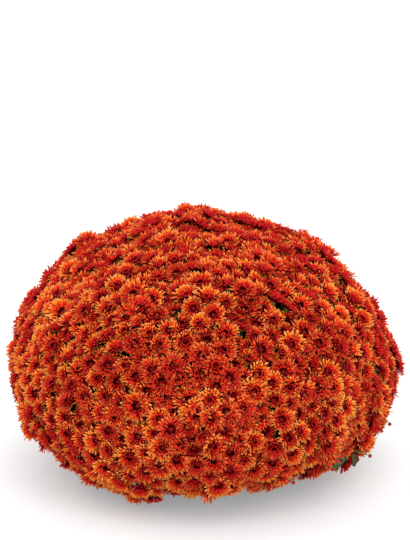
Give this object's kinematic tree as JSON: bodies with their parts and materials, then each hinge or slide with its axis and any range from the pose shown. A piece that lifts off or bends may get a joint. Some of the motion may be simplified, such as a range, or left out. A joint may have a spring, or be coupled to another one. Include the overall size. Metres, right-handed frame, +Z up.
{
  "type": "cushion chrysanthemum plant in bloom",
  "caption": "Round cushion chrysanthemum in full bloom, cut at its base: a woody crown carries green stems, leafy flower sprays and basal leaves; it stands on its cut end.",
  "frame": {"origin": "on the plant's axis, on the surface that it stands on, at the middle of its cut end", "axes": "+Z up, along the woody crown; -Y is the side that faces the viewer, and the plant is much the same all round"},
  "size_m": [0.6, 0.6, 0.407],
  "materials": {
    "ray_florets": "matte",
    "green_stem": "matte",
    "leaf": "matte",
    "old_wood": "matte"
  },
  "bodies": {
    "root": {"flower_spray_01": "ray_florets", "flower_spray_02": "ray_florets", "flower_spray_03": "ray_florets", "flower_spray_04": "ray_florets", "flower_spray_05": "ray_florets", "flower_spray_06": "ray_florets", "flower_spray_07": "ray_florets", "flower_spray_08": "ray_florets", "flower_spray_09": "ray_florets", "flower_spray_10": "ray_florets", "flower_spray_11": "ray_florets", "flower_spray_12": "ray_florets", "flower_spray_13": "ray_florets", "flower_spray_14": "ray_florets", "flower_spray_15": "ray_florets", "flower_spray_16": "ray_florets", "flower_spray_17": "ray_florets", "flower_spray_18": "ray_florets", "flower_spray_19": "ray_florets", "flower_spray_20": "ray_florets", "flower_spray_21": "ray_florets", "flower_spray_22": "ray_florets", "flower_spray_23": "ray_florets", "flower_spray_24": "ray_florets", "flower_spray_25": "ray_florets", "flower_spray_26": "ray_florets", "stem_01": "green_stem", "stem_02": "green_stem", "stem_03": "green_stem", "stem_04": "green_stem", "stem_05": "green_stem", "stem_06": "green_stem", "stem_07": "green_stem", "stem_08": "green_stem", "stem_09": "green_stem", "stem_10": "green_stem", "stem_11": "green_stem", "stem_12": "green_stem", "stem_13": "green_stem", "stem_14": "green_stem", "stem_15": "green_stem", "stem_16": "green_stem", "stem_17": "green_stem", "stem_18": "green_stem", "stem_19": "green_stem", "stem_20": "green_stem", "stem_21": "green_stem", "stem_22": "green_stem", "stem_23": "green_stem", "stem_24": "green_stem", "stem_25": "green_stem", "stem_26": "green_stem", "basal_leaf_01": "leaf", "basal_leaf_02": "leaf", "basal_leaf_03": "leaf", "basal_leaf_04": "leaf", "basal_leaf_05": "leaf", "basal_leaf_06": "leaf", "basal_leaf_07": "leaf", "woody_crown": "old_wood"}
  },
  "joints": []
}
